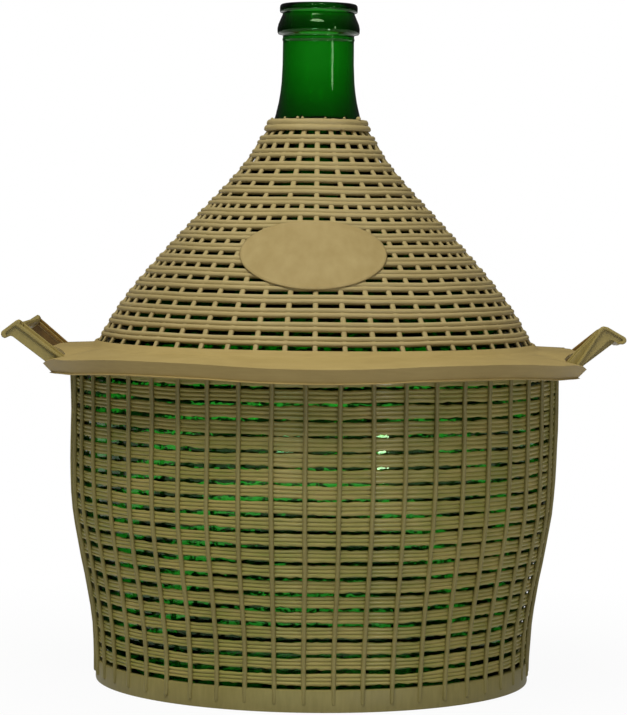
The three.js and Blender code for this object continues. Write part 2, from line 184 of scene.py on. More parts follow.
# Flange
TOP_SINK = 0.4 * MM
BASE_BAND_W = 5.5 * MM
BASE_BAND_FALL = 4.5 * MM
BRIM_CREASE_Z = 244.5 * MM
SKIRT_H = 10.7 * MM
SKIRT_LEAN = 3.6 * MM
SKIRT_SHARE = 0.85
SKIRT_LEAST_LIFT = 1.0
FLANGE_STEPS = 192
# Its section: each point's corner, and how far it lies outwards and upwards of it in millimetres
FLANGE_SECTION = [
    ("top", -0.6, -0.4), ("top", 0.5, 0), ("top", 1.4, -0.4),
    ("brim", -1.6, 0.6), ("brim", 0.4, -0.4), ("brim", 3.2, -1.1),
    ("crease", -0.6, 0.4), ("crease", 0, -0.1),
    ("skirt", 0.3, 1.2), ("skirt", 1.7, 0.5), ("skirt", 1.6, 0.1), ("skirt", 0.9, 0), ("skirt", -1.8, 0.3),
    ("crease", -2.4, -1.6), ("brim", 3.0, -2.9), ("brim", -1.0, -1.8), ("top", -0.6, -2.6),
]
# How its edge rises and flares on the way round: degrees from the front, millimetres
BRIM_LIFT = [
    (0, 2.0), (7, 2.3), (14, 3.0), (22, 4.2), (36, 4.6), (45, 4.0), (52, 2.7), (58, 1.5), (64, 1.2),
    (67, -0.2), (70.5, -3.2), (77, 6.5), (90, 7.0), (108, 6.3), (125, 4.5), (150, 2.5), (180, 1.0),
]
EAR_FLARE = [(0, 0), (54, 0), (62, 0.8), (71, 3.2), (76, 0), (180, 0)]
# The slots for a handle's arms, seen from above in millimetres, with a trimmed tab between them
SLOT_PLAN = [
    (184, -75.5), (222, -75.5), (222, 75.5), (184, 75.5), (184, 57), (197, 34), (197, -34), (184, -57),
]
SLOT_BELOW = 5 * MM
SLOT_H = 40 * MM

# Oval plate
PLATE_W = 105 * MM
PLATE_Z = (plate_low.z + plate_high.z) / 2
PLATE_LENGTH = 64.5 * MM
PLATE_SHIFT = -2 * MM
PLATE_SEAT = -0.4 * MM
PLATE_START_OUT = 20 * MM
PLATE_SIDES = 72
PLATE_INSETS = (0.5, 0.8, 1.0, 0.7)
PLATE_SHRINKS = (0.9, 0.8, 0.75, 0.6, 0.4)
PLATE_T = 1.4 * MM
PLATE_RIM_T = 0.4 * MM
PLATE_RIM_FROM = 0.3 * MM
PLATE_RIM_TO = 1.6 * MM
PLATE_RIM_LEAST = 0.5
FORMER_HEIGHTS = (280 * MM, 300 * MM, 320 * MM, 340 * MM, 365 * MM)
FORMER_STEPS = 256

# Handles
HANDLE_HALF_W = 70 * MM
# How squarely a handle face must turn to the hand hole to get the painted shade
PAINTED_SHADE_FACING = 0.6
EDGE_ROUNDING = 0.4 * MM
BEAD_ROUNDING = 0.75 * MM
ROOT_BAR_T = 3.6 * MM
ROOT_BAR_H = 11 * MM
ROOT_BAR_LIFT = 4 * MM
ROOT_BAR_EDGE = 0.8 * MM
ROOT_BAR_STEPS = 16
ARM_FOOT = 12 * MM
ARM_END = 3 * MM
ARM_STEPS = 10
ARM_ROLL = -15
ROLL_OUT = -4.2
ROLL_UP = -5
GRIP_SAG = 2 * MM
GRIP_END_W = 11 * MM
GRIP_FRONT_SHORT = 3 * MM
GRIP_REAR_LONG = 1 * MM

# A rear arm's section (outwards, upwards) in millimetres: a trough between an outer and an inner web
ARM_SECTION = [
    (-0.3, -10.4), (0, -10), (0, -2.7), (0.9, -2.0), (1.1, -0.8), (0.5, 0), (-0.8, 0.2), (-1.6, -0.4),
    (-2.0, -1.6), (-2.4, -7.6), (-6.0, -7.6), (-6.4, -1.4), (-6.7, -0.2), (-7.5, 0.4), (-8.7, 0.2),
    (-9.2, -0.8), (-9.0, -2.1), (-8.4, -2.8), (-8.4, -9.6), (-8.0, -10),
]

# How deep the layers of a front arm lie, and the roots that tie both arms to the rim under the flange
FRONT_DEPTHS = {"bead": (-72, -66), "web": (-70, -65), "block": (-65.5, -60), "ridge": (-63.5, -59.5)}
ROOT_DEPTHS = ((-69.5, -60.5), (61, 68.5))
ROOT_RIM = [(171.5, 243.0), (171.5, 236.2)]

# Each loop, (x, z) in millimetres. Its front arm is a bead round the edge of a web, the block behind it and
# the ridge of the inner web. The rear arm is the line of its top, from the flange to its end. The feet are
# the corners that the front and rear roots run into. The grip is an outline at the front arm, with its shift
# on the way to the rear arm. The right loop is pulled out of true.
LEFT_LOOP = {
    "bead": [
        (182.6, 243.5), (190.6, 249.5), (217.6, 269.9), (216.6, 272.0), (218.4, 273.4), (220.4, 272.5),
        (231.0, 264.4), (231.4, 262.2), (230.6, 260.4), (228.4, 259.2), (226.6, 260.2), (227.9, 261.8),
        (227.6, 263.8), (220.7, 268.9), (192.0, 247.7), (184.0, 241.7),
    ],
    "web": [
        (190.2, 236.2), (222.7, 260.5), (224.5, 261.1), (226.1, 260.4), (228.2, 259.4), (229.8, 260.6),
        (229.8, 263.6), (219.8, 271.2), (191.3, 248.9), (183.3, 242.9),
    ],
    "block": [
        (190.2, 236.4), (222.2, 260.7), (221.5, 267.0), (218.3, 270.3), (191.8, 249.5), (184.0, 243.4),
    ],
    "ridge": [
        (184.0, 245.7), (191.8, 251.9), (218.3, 272.7), (220.0, 271.0), (193.6, 250.2), (185.8, 244.0),
    ],
    "rear_arm": ((195.1, 250.6), (219.0, 271.0)),
    "feet": (
        [(190.2, 236.6), (192.2, 238.4), (186.0, 244.4), (184.0, 243.0)],
        [(190.8, 236.2), (194.6, 238.6), (189.6, 244.4), (187.0, 243.0)],
    ),
    "grip": [
        (215.2, 270.2), (216.2, 272.1), (218.0, 273.0), (229.6, 265.4), (230.8, 264.0), (230.6, 262.8),
        (229.4, 261.9), (228.0, 261.9), (226.4, 262.6), (224.4, 264.0), (220.8, 264.4), (216.0, 268.0),
    ],
    "grip_shift": (0, -1),
}
RIGHT_LOOP = {
    "bead": [
        (189.7, 239.6), (194.0, 246.3), (207.2, 266.8), (208.8, 270.9), (212.2, 273.1), (215.6, 272.4),
        (228.4, 265.1), (229.4, 263.0), (228.7, 261.0), (226.7, 259.9), (222.8, 259.9), (223.2, 261.7),
        (226.2, 261.9), (226.4, 263.6), (216.1, 269.5), (212.4, 270.6), (210.4, 268.2), (196.0, 245.9),
        (191.7, 239.2),
    ],
    "web": [
        (190.4, 238.3), (199.2, 246.2), (216.9, 262.9), (219.6, 262.6), (222.7, 260.4), (226.5, 260.4),
        (227.9, 261.6), (227.8, 264.2), (213.0, 271.8), (210.0, 270.2), (195.0, 246.1), (190.0, 239.4),
    ],
    "block": [
        (189.3, 236.6), (198.8, 243.9), (220.9, 261.0), (218.5, 266.0), (211.0, 270.6), (208.8, 269.0),
        (193.4, 253.2), (188.4, 247.0), (184.2, 241.8),
    ],
    "ridge": [
        (183.7, 243.2), (187.5, 247.8), (192.7, 254.1), (209.1, 270.6), (210.6, 269.2), (194.3, 252.6),
        (189.1, 246.4), (185.3, 241.8),
    ],
    "rear_arm": ((203.0, 249.4), (224.0, 266.4)),
    "feet": (
        [(189.3, 236.8), (191.4, 239.0), (188.0, 244.4), (185.0, 243.0)],
        [(197.6, 235.6), (201.2, 237.8), (196.4, 243.2), (194.0, 242.4)],
    ),
    "grip": [
        (209.4, 270.4), (210.6, 272.4), (212.6, 273.1), (227.4, 265.5), (228.6, 264.3), (228.4, 263.2),
        (227.0, 262.6), (223.6, 262.8), (222.0, 263.8), (219.4, 265.6), (214.0, 267.6),
    ],
    "grip_shift": (10, -8),
}

# Bottle, (radius, z) in millimetres. The body follows the basket and the shoulder follows the cover.
BOTTLE_BASE = [(0, 11.8), (95, 6.6), (123.6, 3.9), (139, 5.2), (148, 9.5), (154.5, 16.5)]
BODY_HEIGHTS = [26 + k * 14.6 for k in range(13)]
BODY_CLEAR = 5.3 * MM
BODY_TOP = [(176.6, 215), (174, 228), (169, 239.5)]
SHOULDER_HEIGHTS = [252 + k * 14 for k in range(12)]
SHOULDER_CLEAR = 5.6 * MM
NECK_LINE = [
    (35.3, 417.5), (32.1, 427), (29.6, 437.6), (28.3, 446), (27.6, 453), (27.0, 466), (26.9, 482),
    (26.9, 483.6), (27.3, 484.4), (27.3, 485.2), (27.0, 486), (27.0, 487.6), (27.5, 488.4), (30.4, 488.9),
    (31.1, 490.2), (31.2, 493.2), (30.5, 496.4), (28.3, 501.6), (27.3, 503.8), (27.3, 504.9), (28.9, 505.2),
    (29.4, 505.9), (29.5, 508.4), (29.3, 510.2), (28.4, 511.3), (26.8, 511.8),
]
LIP_INNER_R = 23.6 * MM
MOUTH_R = 21.9 * MM
LIP_INNER_FALL = 1.4 * MM
BORE_LINE = [(21.9, 504), (22.7, 500), (22.7, 476), (22.7, 452), (23.6, 438), (25.2, 426)]
BORE_FOOT_Z = 415 * MM
GLASS_T = 3.0 * MM
SHOULDER_T = 8.6 * MM
SHOULDER_FROM_Z = 236 * MM
SHOULDER_FULL_Z = 300 * MM
BOTTLE_STEPS = 96

# Finishes
LEVEL_STREAKS = (1, 1, 9)
UPRIGHT_STREAKS = (6, 6, 1)
DRAG_STREAKS = (2.2, 2.2, 0.2)
TONE_ENDS = (0.3, 0.7)
GLOSS_SPREAD = 0.16
PLASTIC_SPECULAR = 0.35
STRAND_COAT = 0.22
COAT_ROUGHNESS = 0.14
GLASS_IOR = 1.45
GLASS_EDGE_TINT = (0.6, 1, 0.5, 1)
GLASS_GREEN = (0.02, 0.655, 0.03, 1)
GLASS_DENSITY = 640
GLASS_TONES = ((0.86, 0.97, 0.86, 1), (0.97, 1, 0.97, 1))
GLASS_DRAWN = (1, 1, 0.06)
GLASS_RIPPLE = 0.45
WHITE = (1, 1, 1, 1)

# Camera, in pixels of the 627 by 715 picture
PIXEL = 0.76 * MM
IMAGE_W = 627
IMAGE_MID_Y = 357.5
EYE_LINE_Y = 213
AXIS_X = 314.9
BASE_LINE_Y = 678.8
CAMERA_DISTANCE = 2900
CAMERA_ROLL = 0.65
SENSOR_W = 36

# Room light, and the share of it and of the white surroundings that reflections see
ROOM_LOW = 0.04
ROOM_HIGH = 0.42
REFLECTED_ROOM = 0.3
REFLECTED_SHARE = 0.02

# Floor: how white the camera sees it near and far, and how reflections and the glass see it
FLOOR_R = 4
FLOOR_SIDES = 64
FLOOR_COLOUR = (0.58, 0.57, 0.54, 1)
FLOOR_ROUGHNESS = 0.8
FLOOR_NEAR = 0.2
FLOOR_FAR = 0.6
FLOOR_NEAR_SHARE = 0.95
FLOOR_REFLECTED_SHARE = 0.6
FLOOR_SHADE_FROM = 0.35
FLOOR_SHADE_TO = 1.5
FLOOR_SHADE = 0.02

# Lamps: name, place, size, watts and aim. The low ones only show as reflections in the glass.
LAMPS = [
    ("key_lamp", (-0.35, -0.95, 2.2), (1.1, 1.1), 34.5, (0, 0, 0.25)),
    ("glint_strip", (1.15, -1.1, 0.62), (0.16, 0.5), 1.6, (0, 0, 0.45)),
    ("top_strip", (-0.1, -1.1, 1.5), (0.9, 0.12), 3, (0, 0, 0.4)),
    ("low_glint", (0.71, -1.2, 0.13), (0.13, 0.24), 2.6, (0.05, -0.17, 0.17)),
    ("low_window", (-0.34, -1.64, 0.12), (0.36, 0.22), 2.6, (-0.02, -0.18, 0.17)),
]
WINDOW_COLOUR = (0.55, 0.95, 0.85)


def eased(table, t):
    """The value at t on a smooth line through the table's (t, value) points."""
    last = len(table) - 1
    slopes = []
    for i in range(last + 1):
        before = table[max(i - 1, 0)]
        after = table[min(i + 1, last)]
        slopes.append((after[1] - before[1]) / (after[0] - before[0]))
    i = 0
    while i < last - 1 and t > table[i + 1][0]:
        i += 1
    (t0, v0), (t1, v1) = table[i], table[i + 1]
    span = t1 - t0
    s = (t - t0) / span
    start = (1 + 2 * s) * (1 - s) ** 2 * v0 + s * (1 - s) ** 2 * span * slopes[i]
    end = s * s * (3 - 2 * s) * v1 + s * s * (s - 1) * span * slopes[i + 1]
    return start + end


def clamped(t):
    return min(max(t, 0), 1)


def wall_r(z):
    """Radius of the basket wall's outer face at height z."""
    t = (z - WEAVE_FOOT_Z) / (WEAVE_TOP_Z - WEAVE_FOOT_Z)
    return FOOT_R + (WALL_R - FOOT_R) * eased(BASKET_CURVE, clamped(t))


def cone_r(z):
    """Radius of the cover cone's outer face at height z."""
    t = (CONE_TOP_Z - z) / (CONE_TOP_Z - CONE_BASE_Z)
    return CONE_TOP_R + (CONE_BASE_R - CONE_TOP_R) * eased(CONE_CURVE, clamped(t))


def cone_lean(z):
    """The angle that the cover cone leans inwards from upright at height z."""
    step = 2 * MM
    return math.atan2(cone_r(z - step) - cone_r(z + step), 2 * step)


def stations(low, high, count):
    """Heights at equal steps from low to high."""
    return [low + (high - low) * k / count for k in range(count + 1)]


# Bench helpers
def clear_bench():
    if bpy.context.object and bpy.context.object.mode != "OBJECT":
        bpy.ops.object.mode_set(mode="OBJECT")
    bpy.ops.object.select_all(action="DESELECT")


def take(piece):
    """Makes the piece the only one selected."""
    clear_bench()
    piece.select_set(True)
    bpy.context.view_layer.objects.active = piece


def begin(name):
    """Names the new primitive and opens it in edit mode, its place kept in the mesh."""
    piece = bpy.context.object
    piece.name = name
    piece.data.name = name
    bpy.ops.object.transform_apply(location=True, rotation=True, scale=True)
    bpy.ops.object.mode_set(mode="EDIT")
    bpy.ops.mesh.select_all(action="SELECT")
    return piece


def upright(points, y=0.0):
    """Outline points (x, z) set in an upright plane at the given y."""
    return [Vector((x, y, z)) for x, z in points]


def in_mm(points):
    """Outline points written in millimetres, in metres."""
    return [(x * MM, z * MM) for x, z in points]


def draw_line(name, points):
    """Opens a new mesh with a line through the points, extruded from its first point."""
    clear_bench()
    bpy.ops.mesh.primitive_plane_add(size=MM, location=points[0])
    piece = begin(name)
    bpy.ops.mesh.merge(type="CENTER")
    for here, there in zip(points, points[1:]):
        bpy.ops.mesh.extrude_vertices_move(TRANSFORM_OT_translate={"value": there - here})
    bpy.ops.mesh.select_all(action="SELECT")
    return piece


def draw_loop(name, points):
    """Draws a closed outline and leaves all of it selected."""
    piece = draw_line(name, points + points[:1])
    bpy.ops.mesh.remove_doubles(threshold=WELD)
    return piece


def draw_face(name, points):
    """Draws a closed outline and fills it."""
    piece = draw_loop(name, points)
    bpy.ops.mesh.edge_face_add()
    return piece


def push_face(move):
    """Extrudes what is selected by the vector move."""
    bpy.ops.mesh.extrude_region_move(TRANSFORM_OT_translate={"value": move})


def face_outwards():
    """Selects everything drawn and turns its faces out."""
    bpy.ops.mesh.select_all(action="SELECT")
    bpy.ops.mesh.normals_make_consistent(inside=False)


def draw_slab(name, points, depth):
    """Fills a closed outline and extrudes it by the vector depth into a closed slab."""
    piece = draw_face(name, points)
    push_face(depth)
    face_outwards()
    return piece


def turn_round(steps, angle=math.tau):
    """Spins everything drawn round the upright axis, closes the seam and turns the faces out."""
    bpy.ops.mesh.select_all(action="SELECT")
    bpy.ops.mesh.spin(steps=steps, angle=angle, center=(0, 0, 0), axis=(0, 0, 1))
    bpy.ops.mesh.select_all(action="SELECT")
    bpy.ops.mesh.remove_doubles(threshold=WELD)
    bpy.ops.mesh.normals_make_consistent(inside=False)


def copies_round(count):
    """Sets copies of everything drawn at equal steps round the upright axis."""
    bpy.ops.mesh.select_all(action="SELECT")
    bpy.ops.mesh.spin(
        steps=count - 1, dupli=True, angle=math.tau * (count - 1) / count, center=(0, 0, 0), axis=(0, 0, 1)
    )


def turn_all(degrees):
    """Turns everything drawn about the upright axis, towards +X seen from the front."""
    bpy.ops.mesh.select_all(action="SELECT")
    bpy.ops.transform.rotate(
        value=math.radians(-degrees), orient_axis="Z", orient_type="GLOBAL", center_override=(0, 0, 0)
    )


def shade(smooth_angle):
    bpy.ops.object.shade_smooth_by_angle(angle=math.radians(smooth_angle))


def end_edit(piece, smooth_angle):
    bpy.ops.object.mode_set(mode="OBJECT")
    shade(smooth_angle)
    return piece


def apply_modifier(piece, modifier):
    bpy.context.view_layer.objects.active = piece
    bpy.ops.object.modifier_apply(modifier=modifier.name)


def sway(piece, name, size, amount, direction, basis):
    """Pushes the piece unevenly along one axis, in soft swells of the given size in millimetres."""
    swell = bpy.data.textures.get(name)
    if swell is None:
        swell = bpy.data.textures.new(name, "CLOUDS")
        swell.noise_scale = size * MM
        swell.noise_depth = 1
        swell.noise_basis = basis
    push = piece.modifiers.new(name, "DISPLACE")
    push.texture = swell
    push.texture_coords = "LOCAL"
    push.direction = direction
    push.mid_level = 0.5
    push.strength = amount * MM
    apply_modifier(piece, push)


def soften_edges(piece, width):
    rounding = piece.modifiers.new("soft edges", "BEVEL")
    rounding.width = width
    rounding.segments = ROUNDING_SEGMENTS
    rounding.limit_method = "ANGLE"
    rounding.angle_limit = math.radians(ROUNDING_ANGLE)
    apply_modifier(piece, rounding)


def join_parts(name, parts):
    clear_bench()
    for part in parts:
        part.select_set(True)
    bpy.context.view_layer.objects.active = parts[0]
    bpy.ops.object.join()
    parts[0].name = name
    parts[0].data.name = name
    return parts[0]


def dress(piece, body, slot, material, *nodes):
    piece.data.materials.clear()
    piece.data.materials.append(material)
    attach(piece, body)
    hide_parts(*nodes)


# Materials
def srgb(red, green, blue):
    """A colour given as 0 to 255 display values, in the renderer's linear values."""
    def linear(v):
        v /= 255
        return v / 12.92 if v <= 0.04045 else ((v + 0.055) / 1.055) ** 2.4
    return (linear(red), linear(green), linear(blue), 1)


def new_material(name):
    """A new material with its node tree and its shader."""
    material = bpy.data.materials.new(name)
    material.use_nodes = True
    return material, material.node_tree, material.node_tree.nodes["Principled BSDF"]


def add_node(tree, kind, values=None, operation=None):
    """A new shader node with some of its inputs set, and the operation of a maths node."""
    node = tree.nodes.new("ShaderNode" + kind)
    if operation:
        node.operation = operation
    for socket, value in (values or {}).items():
        node.inputs[socket].default_value = value
    return node


def add_tones(tree, dark, light):
    """A colour ramp over the middle of a noise's range."""
    tones = add_node(tree, "ValToRGB")
    for element, place, colour in zip(tones.color_ramp.elements, TONE_ENDS, (dark, light)):
        element.position = place
        element.color = colour
    return tones


def moulded_plastic(name, dark, light, streak, shine, coat=0.0):
    """Moulded plastic with cloudy colour, drawn streaks and a faintly rough skin."""
    material, tree, shader = new_material(name)
    shader.inputs["Specular IOR Level"].default_value = PLASTIC_SPECULAR
    shader.inputs["Coat Weight"].default_value = coat
    shader.inputs["Coat Roughness"].default_value = COAT_ROUGHNESS
    place = add_node(tree, "TexCoord")
    stretch = add_node(tree, "Mapping", {"Scale": streak})
    clouds = add_node(tree, "TexNoise", {"Scale": 22, "Detail": 4})
    streaks = add_node(tree, "TexNoise", {"Scale": 60, "Detail": 3})
    both = add_node(tree, "Mix", {0: 0.5})
    tones = add_tones(tree, srgb(*dark), srgb(*light))
    gloss = add_node(tree, "MapRange", {"To Min": shine, "To Max": shine + GLOSS_SPREAD})
    grain = add_node(tree, "TexNoise", {"Scale": 700, "Detail": 2})
    skin = add_node(tree, "Bump", {"Strength": 0.25, "Distance": 0.15 * MM})
    link = tree.links.new
    link(place.outputs["Object"], clouds.inputs["Vector"])
    link(place.outputs["Object"], stretch.inputs["Vector"])
    link(stretch.outputs["Vector"], streaks.inputs["Vector"])
    link(place.outputs["Object"], grain.inputs["Vector"])
    link(clouds.outputs["Fac"], both.inputs[2])
    link(streaks.outputs["Fac"], both.inputs[3])
    link(both.outputs[0], tones.inputs["Fac"])
    link(tones.outputs["Color"], shader.inputs["Base Color"])
    link(streaks.outputs["Fac"], gloss.inputs["Value"])
    link(gloss.outputs["Result"], shader.inputs["Roughness"])
    link(grain.outputs["Fac"], skin.inputs["Height"])
    link(skin.outputs["Normal"], shader.inputs["Normal"])
    return material


def green_glass():
    """Bottle glass: deep green in the wall, with drawn waves and a fine ripple on its face."""
    material, tree, shader = new_material("bottle_glass")
    shader.inputs["Transmission Weight"].default_value = 1
    shader.inputs["IOR"].default_value = GLASS_IOR
    shader.inputs["Specular Tint"].default_value = GLASS_EDGE_TINT
    body = add_node(tree, "VolumeAbsorption", {"Color": GLASS_GREEN, "Density": GLASS_DENSITY})
    place = add_node(tree, "TexCoord")
    clouds = add_node(tree, "TexNoise", {"Scale": 14})
    tones = add_tones(tree, *GLASS_TONES)
    gloss = add_node(tree, "MapRange", {"To Min": 0.01, "To Max": 0.05})
    drawn = add_node(tree, "Mapping", {"Scale": GLASS_DRAWN})
    waves = add_node(tree, "TexNoise", {"Scale": 70, "Detail": 2})
    ripple = add_node(tree, "TexNoise", {"Scale": 240, "Detail": 1})
    height = add_node(tree, "Math", {1: GLASS_RIPPLE}, "MULTIPLY_ADD")
    skin = add_node(tree, "Bump", {"Strength": 0.3, "Distance": 0.5 * MM})
    link = tree.links.new
    link(body.outputs["Volume"], tree.nodes["Material Output"].inputs["Volume"])
    link(place.outputs["Object"], clouds.inputs["Vector"])
    link(place.outputs["Object"], drawn.inputs["Vector"])
    link(drawn.outputs["Vector"], waves.inputs["Vector"])
    link(clouds.outputs["Fac"], tones.inputs["Fac"])
    link(tones.outputs["Color"], shader.inputs["Base Color"])
    link(clouds.outputs["Fac"], gloss.inputs["Value"])
    link(gloss.outputs["Result"], shader.inputs["Roughness"])
    link(place.outputs["Object"], ripple.inputs["Vector"])
    link(ripple.outputs["Fac"], height.inputs[0])
    link(waves.outputs["Fac"], height.inputs[2])
    link(height.outputs[0], skin.inputs["Height"])
    link(skin.outputs["Normal"], shader.inputs["Normal"])
    return material


basket_plastic = moulded_plastic(
    "basket_plastic", (131, 133, 56), (175, 158, 92), LEVEL_STREAKS, 0.42, STRAND_COAT
)
rib_plastic = moulded_plastic("rib_plastic", (130, 120, 66), (150, 139, 82), UPRIGHT_STREAKS, 0.42)
cover_plastic = moulded_plastic("cover_plastic", (163, 145, 94), (181, 163, 112), LEVEL_STREAKS, 0.38)
flange_plastic = moulded_plastic("flange_plastic", (160, 138, 82), (174, 152, 94), LEVEL_STREAKS, 0.4)
plate_plastic = moulded_plastic("plate_plastic", (154, 133, 82), (172, 152, 101), DRAG_STREAKS, 0.36)
handle_plastic = moulded_plastic("handle_plastic", (143, 127, 69), (164, 147, 86), UPRIGHT_STREAKS, 0.38)
# Painted shade: a darker, warmer brown copy of the handle plastic, for the faces towards the hand hole
handle_painted_shade = moulded_plastic("handle_painted_shade", (106, 78, 28), (128, 96, 42), UPRIGHT_STREAKS, 0.5)
bottle_glass = green_glass()


# Basket
def strand_section(count, height, crown, thickness):
    """Outline of strands lying side by side: (outwards, upwards) from the middle of their outer face."""
    width = height / count
    section = []
    for i in range(count):
        middle = (i - (count - 1) / 2) * width
        for angle in STRAND_ARC:
            turn = math.radians(angle)
            section.append((crown * (math.cos(turn) - 1), middle + width / 2 * math.sin(turn)))
    section.append((-thickness, height / 2 * STRAND_BACK_SHARE))
    section.append((-thickness, -height / 2 * STRAND_BACK_SHARE))
    return section


def stack_bands(name, section, bands):
    """Draws one band section at the first of (radius, z, lean, stretch) and sets copies at the others."""
    r, z, tilt, _ = bands[0]
    out = Vector((math.cos(tilt), math.sin(tilt)))
    up = Vector((-math.sin(tilt), math.cos(tilt)))
    piece = draw_loop(name, upright([Vector((r, z)) + n * out + t * up for n, t in section]))
    for (r0, z0, tilt0, s0), (r1, z1, tilt1, s1) in zip(bands, bands[1:]):
        bpy.ops.mesh.duplicate_move(TRANSFORM_OT_translate={"value": (r1 - r0, 0, z1 - z0)})
        middle = (r1, 0, z1)
        if s1 != s0:
            bpy.ops.transform.resize(value=(1, 1, s1 / s0), center_override=middle)
        if tilt1 != tilt0:
            bpy.ops.transform.rotate(
                value=tilt1 - tilt0, orient_axis="Y", orient_type="GLOBAL", center_override=middle
            )
    return piece


def make_basket_strands():
    bands = []
    for k in range(BAND_COUNT):
        z = BAND_FIRST_Z + k * BAND_PITCH
        stretch = 1 + (BAND_HIGH_H / BAND_LOW_H - 1) * k / (BAND_COUNT - 1)
        bands.append((wall_r(z), z, 0, stretch))
    section = strand_section(BAND_STRANDS, BAND_LOW_H, BAND_CROWN, BAND_T)
    piece = stack_bands("basket_strands", section, bands)
    turn_round(BAND_STEPS)
    end_edit(piece, STRAND_SMOOTH)
    roughen_slits(piece)
    sway_wall(piece)
    dress(piece, "basket", "basket_plastic", basket_plastic, "basket_weave")


def roughen_slits(strands):
    """Draws the bands together where the ribs are moulded on, and leaves ragged edges along the slits."""
    rib_step = math.tau / RIB_COUNT
    for vertex in strands.data.vertices:
        place = vertex.co.copy()
        row = round((place.z - BAND_FIRST_Z) / BAND_PITCH)
        middle = BAND_FIRST_Z + row * BAND_PITCH
        side = 1 if place.z > middle else -1
        share = min(abs(place.z - middle) / (BAND_LOW_H / 2), 1) ** 3
        turn = math.atan2(place.y, place.x) - math.radians(RIB_TURN)
        from_rib = abs((turn / rib_step + 0.5) % 1 - 0.5) * rib_step * WALL_R
        if from_rib < RIB_KNIT_REACH:
            push = RIB_KNIT
        else:
            push = SLIT_RAGGED * noise.noise(place / SLIT_RAGGED_SIZE)
        push += SLIT_DRIFT * noise.noise(place / SLIT_DRIFT_SIZE)
        push -= SLIT_LEFT_WIDER * clamped((-place.x - SLIT_LEFT_FROM) / SLIT_LEFT_REACH)
        vertex.co.z += side * share * push


def sway_wall(piece):
    """Gives the basket wall and its ribs the same slow dents."""
    for swell in WALL_SWAYS:
        sway(piece, *swell)


def bar_along(name, points, half_w, half_t, sides, tip):
    """A bar of oval or cut-cornered section that follows (radius, z) points, with a rounded lower tip."""
    clear_bench()
    r, z = points[0]
    start = (r, 0, z)
    if sides == 4:
        bpy.ops.mesh.primitive_plane_add(size=2 * half_w, location=start)
    else:
        bpy.ops.mesh.primitive_circle_add(vertices=sides, radius=half_w, fill_type="NGON", location=start)
    piece = begin(name)
    bpy.ops.transform.resize(value=(half_t / half_w, 1, 1), center_override=start)
    if sides == 4:
        bpy.ops.mesh.bevel(offset=SPOKE_CORNER_SHARE * half_w, segments=1, affect="VERTICES")
        bpy.ops.mesh.select_all(action="SELECT")
    bpy.ops.transform.resize(value=(TIP_SIZE, TIP_SIZE, 1), center_override=start)
    size_below = TIP_SIZE
    for share, size in TIP_STEPS:
        push_face((0, 0, tip * share))
        grow = size / size_below
        bpy.ops.transform.resize(value=(grow, grow, 1), center_override=start)
        size_below = size
    z += tip
    for r1, z1 in points[1:]:
        push_face((r1 - r, 0, z1 - z))
        r, z = r1, z1
    face_outwards()
    return piece


def make_ribs():
    """Upright round ribs outside the strands, their tips lying on the foot band."""
    points = [(wall_r(z) + RIB_LIFT, z) for z in stations(RIB_TIP_Z, RIB_TOP_Z, RIB_STATIONS)]
    piece = bar_along("ribs", points, RIB_R, RIB_R, RIB_SIDES, RIB_TIP)
    copies_round(RIB_COUNT)
    turn_all(RIB_TURN)
    end_edit(piece, BAR_SMOOTH)
    for bend in RIB_SWAYS:
        sway(piece, *bend)
    sway_wall(piece)
    dress(piece, "basket", "basket_plastic", rib_plastic, "rib_cage")


def make_foot():
    """The plain band and the floor that the bottle stands on."""
    outer = FOOT_R + FOOT_PROUD
    inner = FOOT_R - FOOT_WALL_T
    edge = FOOT_EDGE
    outline = [
        (0, 0),
        (outer - 2 * edge, 0),
        (outer - 0.4 * edge, 0.4 * edge),
        (outer, 2 * edge),
        (outer, FOOT_H - 2 * edge),
        (outer - 0.6 * edge, FOOT_H - 0.6 * edge),
        (outer - 2 * edge, FOOT_H),
        (inner, FOOT_H),
        (inner, FOOT_FLOOR_T),
        (0, FOOT_FLOOR_T),
    ]
    piece = draw_line("foot_band", upright(outline))
    turn_round(BAND_STEPS)
    end_edit(piece, EDGE_SMOOTH)
    dress(piece, "basket", "basket_plastic", rib_plastic, "basket_foot")


def make_rim():
    """The ring round the basket's top edge."""
    outer = rim_high.y
    inner = outer - RIM_T
    back = outer - RIM_BACK
    low = rim_low.z + RIM_LIFT
    step_z = rim_low.z + RIM_STEP_H
    top = rim_high.z
    outline = [
        (inner, low),
        (back - RIM_EDGE, low),
        (back, low + RIM_EDGE),
        (back, step_z),
        (outer, step_z + RIM_BACK),
        (outer, top - RIM_EDGE),
        (outer - RIM_EDGE, top),
        (inner + RIM_EDGE, top),
        (inner, top - RIM_EDGE),
    ]
    piece = draw_loop("basket_rim_ring", upright(outline))
    turn_round(BAND_STEPS)
    end_edit(piece, EDGE_SMOOTH)
    dress(piece, "basket", "basket_plastic", basket_plastic, "basket_rim")


make_basket_strands()
make_ribs()
make_foot()
make_rim()


# Cover
def rows_down_cone():
    """Heights of the slit rows, at equal steps down the cone's slope."""
    heights = stations(CONE_SLIT_TOP_Z, CONE_SLIT_FOOT_Z, CONE_FINE_STEPS)
    lengths = [0]
    for z0, z1 in zip(heights, heights[1:]):
        lengths.append(lengths[-1] + math.hypot(cone_r(z1) - cone_r(z0), z1 - z0))
    rows = []
    k = 0
    for row in range(CONE_BAND_COUNT + 1):
        while k < CONE_FINE_STEPS and lengths[k] < lengths[-1] * row / CONE_BAND_COUNT:
            k += 1
        rows.append(heights[k])
    return rows


slit_rows = rows_down_cone()


